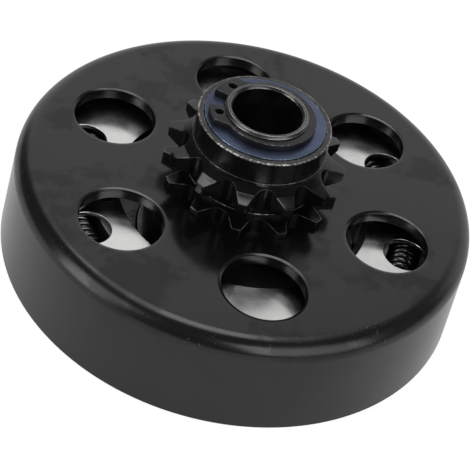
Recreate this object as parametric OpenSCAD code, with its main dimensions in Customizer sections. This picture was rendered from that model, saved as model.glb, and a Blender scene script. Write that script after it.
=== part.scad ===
// Centrifugal clutch for a kart, minibike or tiller engine, in millimetres.
// The spin axis is Z, the drum stands on its open rim at Z = 0 and the chain sprocket is on top.
// The two shoes part along the X axis and slide outwards along +Y and -Y.

/* [Drum] */
// Outside diameter of the drum at its open rim
drum_d = 108; // [106:0.5:116]
// Height of the drum from the rim to its face
drum_h = 24; // [23:0.5:30]
// Thickness of the drum's face
face_t = 2.7; // [2:0.1:3.2]
// Thickness of the drum's side wall at the rim
wall_t = 3.5; // [3:0.1:4]
// How much the side wall draws in from the rim to the face
draft = 1; // [0.4:0.1:1.4]
// Radius of the drum's outer corner
corner_r = 4.1; // [3:0.1:5]
// Diameter of the round holes in the face
hole_d = 19.7; // [14:0.1:20.5]
// Distance from the rim to the circle that the holes stand on
hole_inset = 19.15; // [18:0.05:20]
// Number of holes in the face
hole_count = 6; // [3:1:6]
// Width of the chamfer round each hole
hole_chamfer = 0.4; // [0.2:0.1:0.6]

/* [Sprocket] */
// Number of teeth
teeth = 12; // [12:1:14]
// Pitch of the chain
chain_pitch = 9.525; // [9.5:0.005:9.9]
// Diameter of the chain's rollers
roller_d = 5.08; // [4.8:0.02:5.3]
// Slope of the tooth flanks
flank_angle = 35; // [30:1:38]
// Height of the tooth tips over the pitch circle
tip_rise = 1.95; // [1.4:0.05:2.4]
// Height of the driven teeth's underside over the drum's face
tooth_z = 5.2; // [4.4:0.1:6]
// Thickness of the driven teeth at their roots
tooth_t = 4.6; // [3.8:0.1:5]
// Thickness of the driven teeth at their tips
tip_t = 1.9; // [1.2:0.1:2.4]
// Height of the toothed foot over the drum's face
foot_t = 2; // [1.2:0.1:2.6]
// Diameter of the groove and of the spigot in the drum
neck_d = 30; // [28:0.2:30.4]
// Diameter of the boss above the teeth
boss_d = 30.4; // [29.4:0.1:31]
// Height of the boss over the drum's face
boss_h = 17.6; // [16:0.1:24]
// Height of the flare between the boss and the teeth
flare_h = 2.2; // [1:0.1:2.6]
// How far the spigot stands through the drum's face
spigot_proud = 0.6; // [0.2:0.1:1]

/* [Bearing and retaining] */
// Wall of the bronze bushing
bushing_wall = 1.55; // [1:0.05:2]
// Running clearance round the tube, on the radius
run_gap = 0.04; // [0.02:0.01:0.09]
// Free play along the axis at each thrust face
end_play = 0.1; // [0.05:0.05:0.3]
// Diameter of the thrust washers
washer_d = 27.6; // [25:0.1:27.8]
// Thickness of the thrust washers
washer_t = 1.2; // [0.8:0.1:1.6]
// How far the outer washer stands out of the boss
washer_proud = 0.3; // [0:0.1:0.6]
// Clearance between a washer and what it lies in or round
washer_gap = 0.1; // [0.05:0.01:0.15]
// Thickness of the snap ring
ring_t = 1.2; // [0.9:0.1:1.5]
// Width of the snap ring opposite its gap
ring_w = 2.3; // [1.8:0.1:2.6]
// Width of the snap ring beside its eyes
ring_end_w = 1.3; // [1:0.1:1.6]
// Depth of the snap ring's groove
groove_depth = 0.55; // [0.3:0.05:0.7]
// Angle of the snap ring's gap
ring_gap_at = 158; // [0:1:359]
// Half the angle between the two eyes
eye_spread = 28; // [26:1:34]
// Outside diameter of the eyes
eye_d = 4.1; // [3.6:0.1:4.2]
// Diameter of the eyes' holes
eye_hole_d = 1.95; // [1.5:0.05:2.2]

/* [Hub] */
// Bore for the engine's shaft
bore_d = 15.875; // [14:0.005:16.2]
// Outside diameter of the hub's tube
tube_d = 19.05; // [18.8:0.05:20]
// How far the tube stands out of the snap ring
tube_proud = 1.15; // [0.8:0.05:2]
// Diameter of the collar that carries the driver
collar_d = 27; // [25:0.2:28]
// Diameter of the hub behind the flange
tail_d = 24; // [22.5:0.2:26]
// How far the hub reaches behind the guide plate
tail_proud = 2.2; // [0.6:0.1:2.6]
// Room between the hub's flange and the shoes' inner edge
flange_gap = 6.15; // [5.55:0.1:7.55]
// Thickness of the hub's flange
flange_t = 1.8; // [1.4:0.1:2.2]
// Width of the keyway
key_w = 4.76; // [3:0.01:5]
// Depth of the keyway below the bore
key_depth = 2.3; // [1.5:0.1:2.4]
// Angle of the keyway
key_at = 75; // [0:5:355]
// Chamfer on the ends of the bore
bore_chamfer = 0.5; // [0.2:0.1:0.7]

/* [Driver] */
// Width of the driver's arms
arm_w = 18; // [14:0.5:22]
// Distance of the arms' ends inside the outer edge of the shoes' cores
arm_inset = 10; // [9:0.2:12]
// Width of the driver's ring round the hub's collar
driver_wall = 8.4; // [7:0.1:8.8]
// Diameter of the driver's rivets
driver_rivet_d = 3; // [2.5:0.1:3.2]
// Thickness of the guide plate
guide_t = 1.2; // [0.8:0.1:1.6]
// How far the guide plate reaches under the opened shoes
guide_lap = 0.5; // [0.2:0.1:1]

/* [Shoes] */
// Depth of the shoes' bright face below the drum's face
shoe_depth = 5.75; // [5.6:0.05:6.5]
// Thickness of the shoe's core
core_t = 11.2; // [11.1:0.1:11.6]
// Thickness of the plates on both sides of the core
plate_t = 1.2; // [0.8:0.1:1.4]
// Distance of the plates' outer edge inside the lining's
plate_inset = 0.6; // [0.4:0.1:1.2]
// Width of a shoe's core from its inner to its outer edge
shoe_w = 16.5; // [16:0.1:17.5]
// Thickness of the friction lining
lining_t = 3; // [2:0.1:3.6]
// Width of the friction lining along the axis
lining_w = 11; // [9:0.1:11]
// Gap between the lining and the drum at rest
shoe_gap = 1.55; // [1:0.05:2]
// How far each shoe slides outwards
travel = 1.5; // [0.8:0.05:1.5]
// Gap between the two shoes at rest
split_gap = 2; // [1:0.1:4]
// Clearance on each side of the driver's arm
arm_gap = 0.3; // [0.1:0.05:0.5]
// Clearance between the shoe and the driver along the axis
side_gap = 0.25; // [0.1:0.05:0.3]
// Diameter of the shoe rivets
shoe_rivet_d = 3; // [2.5:0.1:3.4]

/* [Springs] */
// Distance of the springs' circle inside the outer edge of the shoes' cores
spring_inset = 6.65; // [6.4:0.05:7]
// Outside diameter of a spring's coils
coil_d = 6.7; // [6:0.1:7]
// Diameter of the spring's wire
wire_d = 1.4; // [1:0.05:1.45]
// Pitch of the stretched coils
coil_pitch = 1.64; // [1.64:0.02:2.6]
// Clearance round a spring in its channel
channel_gap = 0.6; // [0.3:0.05:0.7]
// Angle from the parting line to a spring's pin
pin_at = 38; // [36:0.5:42]
// Diameter of the spring's pins
spring_pin_d = 3; // [2.6:0.1:3.1]
// Diameter of the round windows over the springs
window_d = 10; // [8:0.1:10.6]
// Angle from the parting line to a window
window_at = 22.4; // [20:0.2:25]

/* [Hidden] */
$fn = 96;

// A cut reaches this far past the face it starts from
over = 1;
// Fused forms reach this far into each other
join = 0.5;
// Segments of small circles
small_fn = 32;

// Heights on the drum
under_face_z = drum_h - face_t;
foot_top_z = drum_h + foot_t;
teeth_low_z = drum_h + tooth_z;
teeth_top_z = teeth_low_z + tooth_t;
boss_top_z = drum_h + boss_h;
spigot_low_z = under_face_z - spigot_proud;

// Radii on the drum
rim_r = drum_d / 2;
drum_bore_r = rim_r - wall_t;
inner_corner_r = 1.4;
rim_chamfer = 0.5;
hole_circle_r = rim_r - hole_inset;
hole_at = 30;

// The outer corner's arc touches the drafted wall and the face
slant = sqrt(drum_h * drum_h + draft * draft);
corner_z = drum_h - corner_r;
corner_x = rim_r - (corner_r * slant + corner_z * draft) / drum_h;
touch_x = corner_x + corner_r * drum_h / slant;
touch_z = corner_z + corner_r * draft / slant;

// The sprocket's circles
pitch_r = chain_pitch / (2 * sin(180 / teeth));
roller_gap = 0.08;
seat_r = roller_d / 2 + roller_gap;
tip_r = pitch_r + tip_rise;
boss_r = boss_d / 2;
neck_r = neck_d / 2;
boss_chamfer = 0.4;

// The flanks leave the roller seats this far inside their tangent, which leaves a fine edge
flank_inset = 0.05;

// The teeth thin from a shoulder inside the pitch circle, and their tips sit above the middle
shoulder_drop = 1.2;
shoulder_r = pitch_r - shoulder_drop;
tip_shift = 0.35;
foot_bevel = 0.15;

// The tube, its bushing and the washers
bore_r = bore_d / 2;
tube_r = tube_d / 2;
bushing_ri = tube_r + run_gap;
bushing_ro = bushing_ri + bushing_wall;
washer_r = washer_d / 2;
washer_ri = tube_r + washer_gap;
pocket_r = washer_r + washer_gap;
outer_washer_z = boss_top_z + washer_proud - washer_t;
pocket_z = outer_washer_z - end_play;
inner_washer_z = spigot_low_z - end_play - washer_t;
ring_z = outer_washer_z + washer_t + end_play / 2;
tube_top_z = ring_z + ring_t + tube_proud;
groove_r = tube_r - groove_depth;
groove_play = 0.05;

// The snap ring's eyes stand on this radius, each with a squared nose beside the gap
eye_rise = 1.75;
eye_r = groove_r + eye_rise;
nose_w = 3.1;
nose_l = 2.2;
nose_step = 7;
nose_at = eye_spread - nose_step;
gap_step = 15;
ring_gap_half = eye_spread - gap_step;

// Heights of the shoe stack, from the bright face down
shoe_face_z = drum_h - shoe_depth;
core_top_z = shoe_face_z - plate_t;
core_low_z = core_top_z - core_t;
shoe_back_z = core_low_z - plate_t;
guide_top_z = shoe_back_z - side_gap;
guide_low_z = guide_top_z - guide_t;
flange_top_z = guide_top_z + flange_t;
driver_top_z = core_top_z - side_gap - end_play;
hub_low_z = guide_low_z - tail_proud;

// Radii of the shoes
lining_ro = drum_bore_r - shoe_gap;
core_ro = lining_ro - lining_t;
plate_ro = lining_ro - plate_inset;
shoe_ri = core_ro - shoe_w;
lining_low_z = core_low_z + (core_t - lining_w) / 2;
lining_end = 6;
split_half = split_gap / 2;

// The driver's fit in the shoes
collar_r = collar_d / 2;
tail_r = tail_d / 2;
flange_r = shoe_ri - flange_gap;
slot_half = arm_w / 2 + arm_gap;
arm_reach = core_ro - arm_inset;
arm_end_gap = 0.5;
slot_end = arm_reach + arm_end_gap;
driver_r = collar_r + driver_wall;
driver_rivet_circle_r = collar_r + driver_wall / 2;
driver_rivet_count = 4;
driver_rivet_at = 45;
guide_r = shoe_ri + travel + guide_lap;
hub_edge = 0.4;

// The springs and their channels
spring_r = core_ro - spring_inset;
coil_r = (coil_d - wire_d) / 2;
channel_half = coil_d / 2 + channel_gap;
channel_low_z = core_top_z - coil_d - 2 * channel_gap;
spring_z = core_top_z - channel_half;
hook_gap = 0.12;
hook_r = spring_pin_d / 2 + hook_gap + wire_d / 2;
hook_run = 2.4;
hook_sweep = 240;
coil_end = pin_at - (hook_r + hook_run) / spring_r * 180 / PI;
coils = floor(coil_end / 90 * PI * spring_r / coil_pitch);

// The round pocket at the end of each channel is a little wider than the channel
pocket_room = 0.25;
pin_pocket_r = channel_half + pocket_room;

// Heights of the spring pins, in blind holes under the channel's floor
pin_seat = 2.5;
pin_top_gap = 0.3;
pin_low_z = channel_low_z - pin_seat;
pin_top_z = core_top_z - pin_top_gap;

// Shoe rivets: angle from the parting line and distance from the axis
inner_rivet_at = 8;
outer_rivet_at = 62;
inner_rivet_r = (shoe_ri + spring_r - channel_half) / 2;

// A disc with a hole in it, from z0 upwards
module ring(ro, ri, z0, t) {
    translate([0, 0, z0])
        difference() {
            cylinder(h = t, r = ro);
            translate([0, 0, -over])
                cylinder(h = t + 2 * over, r = ri);
        }
}

// Half of such a disc, on the +Y side of the parting line
module half_ring(ro, ri, z0, t) {
    intersection() {
        ring(ro, ri, z0, t);
        translate([-ro - over, split_half, z0 - over])
            cube([2 * (ro + over), ro + over, t + 2 * over]);
    }
}

// Its children on both sides of the YZ plane
module both_sides() {
    children();
    mirror([1, 0, 0])
        children();
}

// The lower shoe is the upper one, turned half round
module turned() {
    rotate([0, 0, 180])
        children();
}

// Its children at an angle from the X axis and a distance from the spin axis
module at_polar(angle, r) {
    rotate([0, 0, angle])
        translate([r, 0, 0])
            children();
}

// Half section of the bell, drawn in X and Y and spun about the axis
module bell_section() {
    difference() {
        union() {
            polygon([[0, 0], [rim_r - rim_chamfer, 0], [rim_r, rim_chamfer], [touch_x, touch_z],
                     [corner_x, corner_z], [corner_x, drum_h], [0, drum_h]]);
            translate([corner_x, corner_z])
                circle(r = corner_r);
        }
        translate([0, -over])
            square([drum_bore_r, under_face_z - inner_corner_r + over]);
        translate([0, -over])
            square([drum_bore_r - inner_corner_r, under_face_z + over]);
        translate([drum_bore_r - inner_corner_r, under_face_z - inner_corner_r])
            circle(r = inner_corner_r);
        translate([0, -over])
            square([neck_r, drum_h + 2 * over]);
    }
}

// One hole in the face, with its chamfer
module face_hole() {
    translate([0, 0, under_face_z - over])
        cylinder(h = face_t + 2 * over, r = hole_d / 2);
    translate([0, 0, drum_h - hole_chamfer])
        cylinder(h = 2 * hole_chamfer, r1 = hole_d / 2, r2 = hole_d / 2 + 2 * hole_chamfer);
}

module drum() {
    color("#1b1b1d")
        difference() {
            rotate_extrude()
                bell_section();
            for (i = [0 : hole_count - 1])
                at_polar(hole_at + i * 360 / hole_count, hole_circle_r)
                    face_hole();
        }
}

// The space between two teeth: a roller's seat that opens outwards
module tooth_space() {
    flank_r = seat_r - flank_inset;
    seat_x = pitch_r - flank_r * sin(flank_angle);
    seat_y = flank_r * cos(flank_angle);
    out_x = tip_r + over;
    out_y = seat_y + (out_x - seat_x) * tan(flank_angle);
    translate([pitch_r, 0])
        circle(r = seat_r, $fn = small_fn);
    polygon([[seat_x, seat_y], [seat_x, -seat_y], [out_x, -out_y], [out_x, out_y]]);
}

module tooth_outline() {
    difference() {
        circle(r = tip_r);
        for (i = [0 : teeth - 1])
            rotate(i * 360 / teeth)
                tooth_space();
    }
}

// Half section of the driven teeth, thinned towards their tips
module driven_section() {
    low_slope_z = teeth_low_z + (tooth_t - tip_t) / 2 + tip_shift;
    polygon([[0, teeth_low_z], [shoulder_r, teeth_low_z], [tip_r, low_slope_z],
             [tip_r, low_slope_z + tip_t], [shoulder_r, teeth_top_z],
             [boss_r, teeth_top_z + flare_h], [0, teeth_top_z + flare_h]]);
}

// Half section of the toothed foot on the drum's face
module foot_section() {
    polygon([[0, drum_h], [tip_r, drum_h], [tip_r, foot_top_z - foot_bevel],
             [shoulder_r, foot_top_z], [0, foot_top_z]]);
}

module toothed(low_z, top_z) {
    intersection() {
        rotate_extrude()
            children();
        translate([0, 0, low_z - over])
            linear_extrude(height = top_z - low_z + 2 * over)
                tooth_outline();
    }
}

// The round body under, between and over the teeth
module sprocket_body() {
    rotate_extrude()
        polygon([[0, spigot_low_z], [neck_r, spigot_low_z], [neck_r, teeth_low_z + join],
                 [boss_r, teeth_top_z + flare_h], [boss_r, boss_top_z - boss_chamfer],
                 [boss_r - boss_chamfer, boss_top_z], [0, boss_top_z]]);
}

module sprocket() {
    color("#232326")
        difference() {
            union() {
                sprocket_body();
                toothed(teeth_low_z, teeth_top_z + flare_h)
                    driven_section();
                toothed(drum_h, foot_top_z)
                    foot_section();
            }
            translate([0, 0, spigot_low_z - over])
                cylinder(h = boss_top_z - spigot_low_z + 2 * over, r = bushing_ro);
            translate([0, 0, pocket_z])
                cylinder(h = boss_top_z - pocket_z + over, r = pocket_r);
        }
}

module bushing() {
    color("#a5793f")
        ring(bushing_ro, bushing_ri, spigot_low_z, pocket_z - spigot_low_z);
}

module outer_thrust_washer() {
    color("#46556f")
        ring(washer_r, washer_ri, outer_washer_z, washer_t);
}

module inner_thrust_washer() {
    color("#8d8f92")
        ring(washer_r, washer_ri, inner_washer_z, washer_t);
}

// The external retaining ring: an eccentric band with two eyed ends
module ring_outline() {
    band_r = groove_r + (ring_w + ring_end_w) / 2;
    gap_reach = 2 * band_r;
    difference() {
        union() {
            translate([groove_r + ring_w - band_r, 0])
                circle(r = band_r);
            for (side = [-1, 1])
                rotate(180 + side * eye_spread)
                    translate([eye_r, 0])
                        circle(r = eye_d / 2, $fn = small_fn);
            for (side = [-1, 1])
                rotate(180 + side * nose_at)
                    translate([eye_r, 0])
                        square([nose_w, nose_l], center = true);
        }
        circle(r = groove_r);
        polygon([[0, 0],
                 [-gap_reach, -gap_reach * tan(ring_gap_half)],
                 [-gap_reach, gap_reach * tan(ring_gap_half)]]);
        for (side = [-1, 1])
            rotate(180 + side * eye_spread)
                translate([eye_r, 0])
                    circle(r = eye_hole_d / 2, $fn = small_fn);
    }
}

module snap_ring() {
    color("#3c3c40")
        translate([0, 0, ring_z])
            rotate([0, 0, ring_gap_at + 180])
                linear_extrude(height = ring_t)
                    ring_outline();
}

// The turned hub: tail, flange, collar and long tube in one piece
module hub_section() {
    groove_z = ring_z - groove_play;
    groove_w = ring_t + 2 * groove_play;
    collar_top_z = inner_washer_z - end_play;
    difference() {
        polygon([[bore_r, hub_low_z], [tail_r - hub_edge, hub_low_z], [tail_r, hub_low_z + hub_edge],
                 [tail_r, guide_top_z], [flange_r, guide_top_z],
                 [flange_r, flange_top_z - hub_edge], [flange_r - hub_edge, flange_top_z],
                 [collar_r, flange_top_z], [collar_r, collar_top_z], [tube_r, collar_top_z],
                 [tube_r, tube_top_z - bore_chamfer], [tube_r - bore_chamfer, tube_top_z],
                 [bore_r, tube_top_z]]);
        translate([groove_r, groove_z])
            square([tube_r, groove_w]);
    }
}

module hub() {
    color("#5c5d60")
        difference() {
            rotate_extrude()
                hub_section();
            translate([0, 0, tube_top_z - bore_chamfer])
                cylinder(h = 2 * bore_chamfer, r1 = bore_r, r2 = bore_r + 2 * bore_chamfer);
            translate([0, 0, hub_low_z - bore_chamfer])
                cylinder(h = 2 * bore_chamfer, r1 = bore_r + 2 * bore_chamfer, r2 = bore_r);
            rotate([0, 0, key_at])
                translate([0, -key_w / 2, hub_low_z - over])
                    cube([bore_r + key_depth, key_w, driver_top_z - hub_low_z + over]);
            driver_rivet_bodies();
        }
}

// Flush rivets hold the driver and the guide plate on the hub's flange
module driver_rivet_bodies() {
    for (i = [0 : driver_rivet_count - 1])
        at_polar(driver_rivet_at + i * 360 / driver_rivet_count, driver_rivet_circle_r)
            translate([0, 0, guide_low_z])
                cylinder(h = driver_top_z - guide_low_z, r = driver_rivet_d / 2, $fn = small_fn);
}

module driver_rivets() {
    color("#6f7073")
        driver_rivet_bodies();
}

module driver() {
    color("#202123")
        difference() {
            translate([0, 0, flange_top_z])
                union() {
                    cylinder(h = driver_top_z - flange_top_z, r = driver_r);
                    translate([-arm_w / 2, -arm_reach, 0])
                        cube([arm_w, 2 * arm_reach, driver_top_z - flange_top_z]);
                }
            translate([0, 0, flange_top_z - over])
                cylinder(h = driver_top_z - flange_top_z + 2 * over, r = collar_r);
            driver_rivet_bodies();
        }
}

module guide_plate() {
    color("#77797c")
        difference() {
            ring(guide_r, tail_r, guide_low_z, guide_t);
            driver_rivet_bodies();
        }
}

// Four flush rivets through the three layers of the upper shoe
module shoe_rivet_bodies() {
    both_sides()
        for (place = [[inner_rivet_at, inner_rivet_r], [outer_rivet_at, spring_r]])
            at_polar(place[0], place[1])
                translate([0, 0, shoe_back_z])
                    cylinder(h = shoe_face_z - shoe_back_z, r = shoe_rivet_d / 2, $fn = small_fn);
}

module spring_pin_bodies() {
    both_sides()
        at_polar(pin_at, spring_r)
            translate([0, 0, pin_low_z])
                cylinder(h = pin_top_z - pin_low_z, r = spring_pin_d / 2, $fn = small_fn);
}

// One spring channel, open at the parting line and round at the pin
module spring_channel() {
    channel_h = core_top_z - channel_low_z + over;
    translate([0, 0, channel_low_z])
        rotate_extrude(angle = pin_at)
            translate([spring_r - channel_half, 0])
                square([2 * channel_half, channel_h]);
    at_polar(pin_at, spring_r)
        translate([0, 0, channel_low_z])
            cylinder(h = channel_h, r = pin_pocket_r);
}

module shoe_core() {
    difference() {
        half_ring(core_ro, shoe_ri, core_low_z, core_t);
        both_sides()
            spring_channel();
        translate([-slot_half, 0, core_low_z - over])
            cube([2 * slot_half, slot_end, core_t + 2 * over]);
        shoe_rivet_bodies();
        spring_pin_bodies();
    }
}

module face_plate() {
    difference() {
        half_ring(plate_ro, shoe_ri, core_top_z, plate_t);
        both_sides()
            at_polar(window_at, spring_r)
                translate([0, 0, core_top_z - over])
                    cylinder(h = plate_t + 2 * over, r = window_d / 2);
        shoe_rivet_bodies();
    }
}

module back_plate() {
    difference() {
        half_ring(plate_ro, shoe_ri, shoe_back_z, plate_t);
        shoe_rivet_bodies();
    }
}

// A bonded band of friction material that stops short of the shoe's ends
module lining() {
    translate([0, 0, lining_low_z])
        rotate([0, 0, lining_end])
            rotate_extrude(angle = 180 - 2 * lining_end)
                translate([core_ro, 0])
                    square([lining_t, lining_w]);
}

module upper_shoe_core() {
    color("#7c7d80")
        shoe_core();
}

module lower_shoe_core() {
    color("#7c7d80")
        turned()
            shoe_core();
}

module upper_face_plate() {
    color("#c9cbce")
        face_plate();
}

module lower_face_plate() {
    color("#c9cbce")
        turned()
            face_plate();
}

module upper_back_plate() {
    color("#b9bbbe")
        back_plate();
}

module lower_back_plate() {
    color("#b9bbbe")
        turned()
            back_plate();
}

module upper_lining() {
    color("#4a3f36")
        lining();
}

module lower_lining() {
    color("#4a3f36")
        turned()
            lining();
}

module upper_shoe_rivets() {
    color("#9a9b9e")
        shoe_rivet_bodies();
}

module lower_shoe_rivets() {
    color("#9a9b9e")
        turned()
            shoe_rivet_bodies();
}

module upper_spring_pins() {
    color("#8a8b8e")
        spring_pin_bodies();
}

module lower_spring_pins() {
    color("#8a8b8e")
        turned()
            spring_pin_bodies();
}

// Points of the spring's wire: hook, coils along the arc, hook
coil_steps = 10;
hook_steps = 8;
function polar_point(r, angle, z) = [r * cos(angle), r * sin(angle), z];
function coil_point(i) =
    let (turn = i / coil_steps, angle = -coil_end + 2 * coil_end * turn / coils)
    polar_point(spring_r + coil_r * cos(360 * turn), angle, spring_z + coil_r * sin(360 * turn));
// A point of the upper hook: sweep 0 is beside the coils, 180 is on the far side of the axis
function hook_point(sweep) =
    let (middle = polar_point(spring_r, pin_at, spring_z))
    middle + hook_r * cos(sweep) * [cos(pin_at), sin(pin_at), 0]
           + hook_r * sin(sweep) * [-sin(pin_at), cos(pin_at), 0];
function flipped(points) = [for (i = [len(points) - 1 : -1 : 0]) [points[i][0], -points[i][1],
                                                                  points[i][2]]];
hook = [for (i = [0 : hook_steps]) hook_point(i * hook_sweep / hook_steps)];
wire_path = concat(flipped(hook), [for (i = [0 : coils * coil_steps]) coil_point(i)], hook);

// The wire's section is carried along the path without twisting
function unit(v) = v / norm(v);
function path_tangent(p, i) = unit(p[min(i + 1, len(p) - 1)] - p[max(i - 1, 0)]);
function square_to(v, t) = unit(v - (v * t) * t);
wire_sides = 6;

module swept_wire(path, r) {
    count = len(path);
    tangents = [for (i = [0 : count - 1]) path_tangent(path, i)];
    normals = [for (i = 0, n = square_to([0, 0, 1], tangents[0]); i < count;
                    i = i + 1, n = i < count ? square_to(n, tangents[i]) : n) n];
    points = [for (i = [0 : count - 1], k = [0 : wire_sides - 1])
                  let (a = 360 * k / wire_sides, side = cross(tangents[i], normals[i]))
                  path[i] + r * (cos(a) * normals[i] + sin(a) * side)];
    walls = [for (i = [0 : count - 2], k = [0 : wire_sides - 1], half = [0, 1])
                 let (a = i * wire_sides + k, b = i * wire_sides + (k + 1) % wire_sides)
                 half == 0 ? [a, b, b + wire_sides] : [a, b + wire_sides, a + wire_sides]];
    first_cap = [[for (k = [wire_sides - 1 : -1 : 0]) k]];
    last_cap = [[for (k = [0 : wire_sides - 1]) (count - 1) * wire_sides + k]];
    polyhedron(points = points, faces = concat(walls, first_cap, last_cap));
}

module spring() {
    swept_wire(wire_path, wire_d / 2);
}

module right_spring() {
    color("#aeb0b3")
        spring();
}

module left_spring() {
    color("#aeb0b3")
        turned()
            spring();
}

drum();
sprocket();
bushing();
outer_thrust_washer();
snap_ring();
inner_thrust_washer();
hub();
driver();
guide_plate();
driver_rivets();
upper_shoe_core();
lower_shoe_core();
upper_face_plate();
lower_face_plate();
upper_back_plate();
lower_back_plate();
upper_lining();
lower_lining();
upper_shoe_rivets();
lower_shoe_rivets();
upper_spring_pins();
lower_spring_pins();
left_spring();
right_spring();
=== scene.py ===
"""Looks of a kart clutch with a chain sprocket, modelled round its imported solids, in metres."""
import math

import bmesh
import bpy
from bpy.props import FloatProperty, FloatVectorProperty, IntProperty, PointerProperty
from mathutils import Matrix, Vector
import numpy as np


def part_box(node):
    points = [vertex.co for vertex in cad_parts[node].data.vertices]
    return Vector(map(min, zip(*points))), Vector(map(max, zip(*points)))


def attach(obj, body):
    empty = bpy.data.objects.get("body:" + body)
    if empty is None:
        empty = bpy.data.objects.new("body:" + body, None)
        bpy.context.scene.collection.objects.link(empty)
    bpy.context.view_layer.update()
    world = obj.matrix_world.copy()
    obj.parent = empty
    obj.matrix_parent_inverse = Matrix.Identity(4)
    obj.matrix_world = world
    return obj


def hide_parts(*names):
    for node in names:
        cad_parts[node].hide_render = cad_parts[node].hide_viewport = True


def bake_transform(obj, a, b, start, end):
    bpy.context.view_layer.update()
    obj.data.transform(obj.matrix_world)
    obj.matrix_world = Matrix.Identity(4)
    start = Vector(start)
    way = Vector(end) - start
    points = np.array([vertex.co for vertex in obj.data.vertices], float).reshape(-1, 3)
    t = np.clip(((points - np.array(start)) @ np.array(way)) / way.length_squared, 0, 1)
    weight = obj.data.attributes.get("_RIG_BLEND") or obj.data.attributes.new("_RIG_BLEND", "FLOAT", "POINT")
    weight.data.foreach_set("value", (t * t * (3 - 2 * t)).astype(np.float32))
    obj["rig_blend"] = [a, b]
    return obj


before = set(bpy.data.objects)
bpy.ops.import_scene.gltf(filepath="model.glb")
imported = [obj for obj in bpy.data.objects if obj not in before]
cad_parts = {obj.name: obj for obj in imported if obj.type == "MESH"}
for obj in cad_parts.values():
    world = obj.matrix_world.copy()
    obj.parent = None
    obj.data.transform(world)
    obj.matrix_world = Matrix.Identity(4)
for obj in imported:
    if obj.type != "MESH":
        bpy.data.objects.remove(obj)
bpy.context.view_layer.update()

bl_info = {
    "name": "Centrifugal clutch",
    "version": (1, 0, 0),
    "blender": (4, 5, 0),
    "location": "3D View > Sidebar > Clutch",
    "description": "Models and finishes a centrifugal clutch and sets up its studio",
    "category": "Object",
}

MM = 0.001
TINY = 0.001 * MM  # lengths that differ by less count as the same
BUMP_DEPTH = 0.05 * MM  # depth of a finish's bump at full strength
LATHE_MARKS = 2600.0  # turning marks to a metre
BARED_ROUGHNESS = 0.34


def reach(node):
    """The radius and the lowest and highest level of a node that is turned about the Z axis."""
    low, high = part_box(node)
    return high.x, low.z, high.z


# The bushing's end is the pocket's floor, and the driver lies on the hub's flange
RIM_R, _, FACE_Z = reach("drum")
_, SPIGOT_Z, BOSS_TOP_Z = reach("sprocket")
BUSHING_R, _, POCKET_Z = reach("bushing")
_, RING_LOW_Z, _ = reach("snap_ring")
_, FLANGE_Z, _ = reach("driver")
_, CORE_R, CORE_TOP_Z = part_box("upper_shoe_core")[1]


def size(name, description, metres):
    """A length that a user can change."""
    return FloatProperty(name=name, description=description, default=metres, min=0.0,
                         unit="LENGTH", subtype="DISTANCE", precision=5)


def angle(name, description, degrees):
    """An angle that a user can change."""
    return FloatProperty(name=name, description=description, default=math.radians(degrees),
                         unit="ROTATION", subtype="ANGLE")


def share(name, description, value, top=1.0):
    """A plain number that a user can change."""
    return FloatProperty(name=name, description=description, default=value, min=0.0, max=top,
                         subtype="FACTOR" if top == 1.0 else "NONE")


def count(name, description, value):
    """A whole number that a user can change."""
    return IntProperty(name=name, description=description, default=value, min=3)


def tint(name, description, rgb):
    """A colour that a user can change, in linear values."""
    return FloatVectorProperty(name=name, description=description, default=rgb, min=0.0, max=1.0,
                               size=3, subtype="COLOR")


class DrumSizes(bpy.types.PropertyGroup):
    """Sizes of the drum's bell"""
    rim_r: size("Rim radius", "Outer radius at the open rim", RIM_R)
    face_z: size("Face height", "Height of the face over the rim", FACE_Z)
    draft: size("Draft", "How much the side wall draws in towards the face", 1.0 * MM)
    wall: size("Wall", "Thickness of the side wall at the rim", 3.5 * MM)
    face: size("Face thickness", "Thickness of the face", 2.7 * MM)
    corner: size("Outer corner", "Radius of the outer corner", 4.1 * MM)
    inner_corner: size("Inner corner", "Radius of the inner corner", 1.4 * MM)
    rim_round: size("Rim rounding", "Rounding of the rim's edges", 0.5 * MM)
    hole_r: size("Hole radius", "Radius of the holes in the face", 9.4 * MM)
    hole_circle: size("Hole circle", "Radius of the circle that the holes stand on", 34.85 * MM)
    hole_lip: size("Hole lip", "Width of the slope round a hole's top edge", 0.8 * MM)
    hole_drop: size("Lip drop", "Height of the slope round a hole's top edge", 0.2 * MM)
    hole_round: size("Hole rounding", "Rounding of the holes' top edges", 0.26 * MM)
    hole_burr: size("Hole underside", "Rounding of the holes' lower edges", 0.3 * MM)
    hole_at: angle("First hole", "Angle of the first hole", 30)
    holes: count("Holes", "Number of holes", 6)
    neck_r: size("Middle bore", "Radius of the bore for the sprocket's spigot", 15.0 * MM)


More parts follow.
